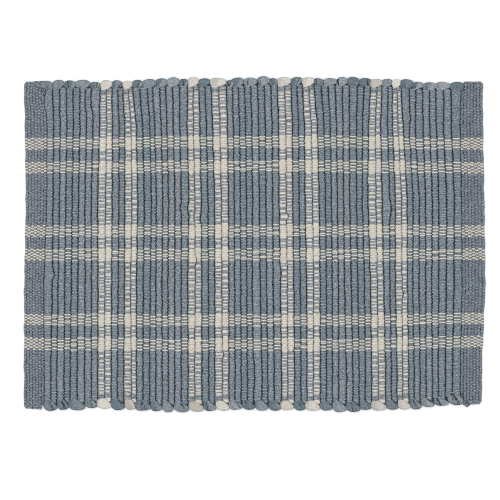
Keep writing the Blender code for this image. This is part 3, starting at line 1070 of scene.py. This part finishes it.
def cotton(name, look):
    """The material of one of the cottons."""
    material = plain_material(name, MATT_COTTON)
    tree = material.node_tree
    shader = tree.nodes["Principled BSDF"]
    dark, light, worn, deep = ((*colour, 1.0) for colour in look[:4])
    place = node(tree, "ShaderNodeTexCoord").outputs["Object"]
    around = attribute(tree, "around", "Vector")
    fibres = noise(tree, place, FIBRES)

    mottle = around_zero(tree, noise(tree, place, MOTTLE), MOTTLE.strength)
    colour = blend(tree, maths(tree, "ADD", attribute(tree, "tone", "Fac"), mottle), dark, light)
    flecks = around_zero(tree, noise(tree, place, FLECKS), FLECKS.strength)
    flecks = maths(tree, "ADD", flecks, around_zero(tree, fibres, FIBRES.strength))
    colour = blend(tree, maths(tree, "ADD", flecks, WORN), colour, worn)
    specks = around_zero(tree, noise(tree, scaled(tree, place, ALONG_YARNS), SPECKS), look.speckle)
    colour = blend(tree, 1.0, colour, maths(tree, "ADD", specks, 1.0), "MULTIPLY")
    # painted shade: the more a point is sunk in the cloth, the more its colour turns to the deep shade
    depths = {"Value": attribute(tree, "sunk", "Fac"), "From Min": look.lit, "From Max": FULL_PAINTED_SHADE}
    depth = node(tree, "ShaderNodeMapRange", depths, interpolation_type="SMOOTHSTEP").outputs[0]
    feed(tree, shader.inputs["Base Color"], blend(tree, depth, colour, deep))

    if look.twist:
        cosine, sine, along = node(tree, "ShaderNodeSeparateXYZ", {0: around}).outputs
        turn = maths(tree, "MULTIPLY", along, 2 * np.pi / look.twist)
        first_part = maths(tree, "MULTIPLY", maths(tree, "SINE", turn), cosine)
        second_part = maths(tree, "MULTIPLY", maths(tree, "COSINE", turn), sine)
        plies = maths(tree, "MULTIPLY", maths(tree, "ADD", first_part, second_part), PLY_SHARE)
        height = maths(tree, "ADD", plies, maths(tree, "MULTIPLY", fibres, YARN_FIBRES))
    else:
        folds = noise(tree, scaled(tree, around, AROUND_TUBES), FOLDS_IN_CLOTH)
        height = maths(tree, "ADD", folds, maths(tree, "MULTIPLY", fibres, CLOTH_FIBRES))
    bump = {"Strength": BUMP, "Distance": YARN_BUMP if look.twist else CLOTH_BUMP, "Height": height}
    feed(tree, shader.inputs["Normal"], node(tree, "ShaderNodeBump", bump).outputs["Normal"])
    return material


# ---------------------------------------------------------------- the pieces

BLUE_WARP_PIECES = 4


def build_cloth():
    weave = Weave()
    cottons = {name: cotton(name, look) for name, look in COTTONS.items()}
    blue_slot, cream_slot = "blue_grey_cotton", "cream_cotton"
    yarns = yarn_tubes(weave)

    def add(name, softs, material, slot):
        make_piece(name, softs, cottons[material])

    blue = np.flatnonzero(weave.yarn_colour == "blue")
    for number, chosen in enumerate(np.array_split(blue, BLUE_WARP_PIECES)):
        add(f"blue_warp_{number + 1}", [some_of(yarns, chosen)], "blue_grey_yarn", blue_slot)
    chosen = np.flatnonzero(weave.yarn_colour == "cream")
    add("cream_warp", [some_of(yarns, chosen)], "cream_yarn", cream_slot)
    ribs = weft_rings(weave, np.flatnonzero(weave.colour == "cream"), RIB_SIDES)
    add("cream_ribs", [ribs], "cream_cloth", cream_slot)
    add("cream_loops", [loops_of(weave, "cream")], "cream_fold", cream_slot)
    fine = weft_rings(weave, np.flatnonzero(weave.heading), PICK_SIDES)
    add("heading_weft", [fine, corner_knot()], "heading_weft", blue_slot)
    add("blue_loops", [loops_of(weave, "blue")], "blue_grey_fold", blue_slot)
    ribs = weft_rings(weave, np.flatnonzero(weave.colour == "blue"), RIB_SIDES)
    main = make_piece("blue_ribs", [ribs], cottons["blue_grey_cloth"])
    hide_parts(CLOTH)


# ---------------------------------------------------------------- the studio

VIEW_CENTRE = (-4.75, -5.7)  # the middle of the view, in millimetres
VIEW_WIDTH = 500.0
CAMERA_HEIGHT = 4000.0
SENSOR = 36.0
CAMERA_SEES = 100.0  # how far, in metres

# The floor and the lamp above it are in metres.
FLOOR_REACH = 40.0
PAPER = {"Base Color": (0.93, 0.93, 0.93, 1), "Roughness": 0.9, "Specular IOR Level": 0.1}
SKY, SKY_STRENGTH = (0.96, 0.98, 1.0, 1), 0.9
LAMP_PLACE, LAMP_SIZE, LAMP_WATTS = (-0.35, 0.45, 2.5), 1.4, 27.0
PIXEL_FILTER = 1.05


def build_studio():
    scene = bpy.context.scene
    scene.view_settings.view_transform = "Standard"
    scene.cycles.filter_width = PIXEL_FILTER
    scene.cycles.denoising_prefilter = "NONE"  # or the denoiser would smooth the cloth's fine grain away

    floor_mesh = bpy.data.meshes.new("floor")
    corners = [(x, y, 0) for x, y in ((-1, -1), (1, -1), (1, 1), (-1, 1))]
    floor_mesh.from_pydata((np.array(corners) * FLOOR_REACH).tolist(), [], [(0, 1, 2, 3)])
    floor = bpy.data.objects.new("floor", floor_mesh)
    scene.collection.objects.link(floor)
    floor_mesh.materials.append(plain_material("paper", PAPER))

    world = bpy.data.worlds.new("studio")
    scene.world = world
    world.use_nodes = True
    sky = world.node_tree.nodes["Background"]
    sky.inputs["Color"].default_value = SKY
    sky.inputs["Strength"].default_value = SKY_STRENGTH

    lamp = bpy.data.lights.new("key", "AREA")
    lamp.shape = "DISK"
    lamp.size = LAMP_SIZE
    lamp.energy = LAMP_WATTS
    key = bpy.data.objects.new("key", lamp)
    key.location = LAMP_PLACE
    key.rotation_mode = "QUATERNION"
    key.rotation_quaternion = (-Vector(key.location)).to_track_quat("-Z", "Y")
    scene.collection.objects.link(key)

    lens = bpy.data.cameras.new("camera")
    lens.sensor_width = SENSOR
    lens.lens = SENSOR * CAMERA_HEIGHT / VIEW_WIDTH
    lens.clip_end = CAMERA_SEES
    camera = bpy.data.objects.new("camera", lens)
    camera.location = (VIEW_CENTRE[0] * MM, VIEW_CENTRE[1] * MM, CAMERA_HEIGHT * MM)
    scene.collection.objects.link(camera)
    scene.camera = camera


build_studio()
build_cloth()
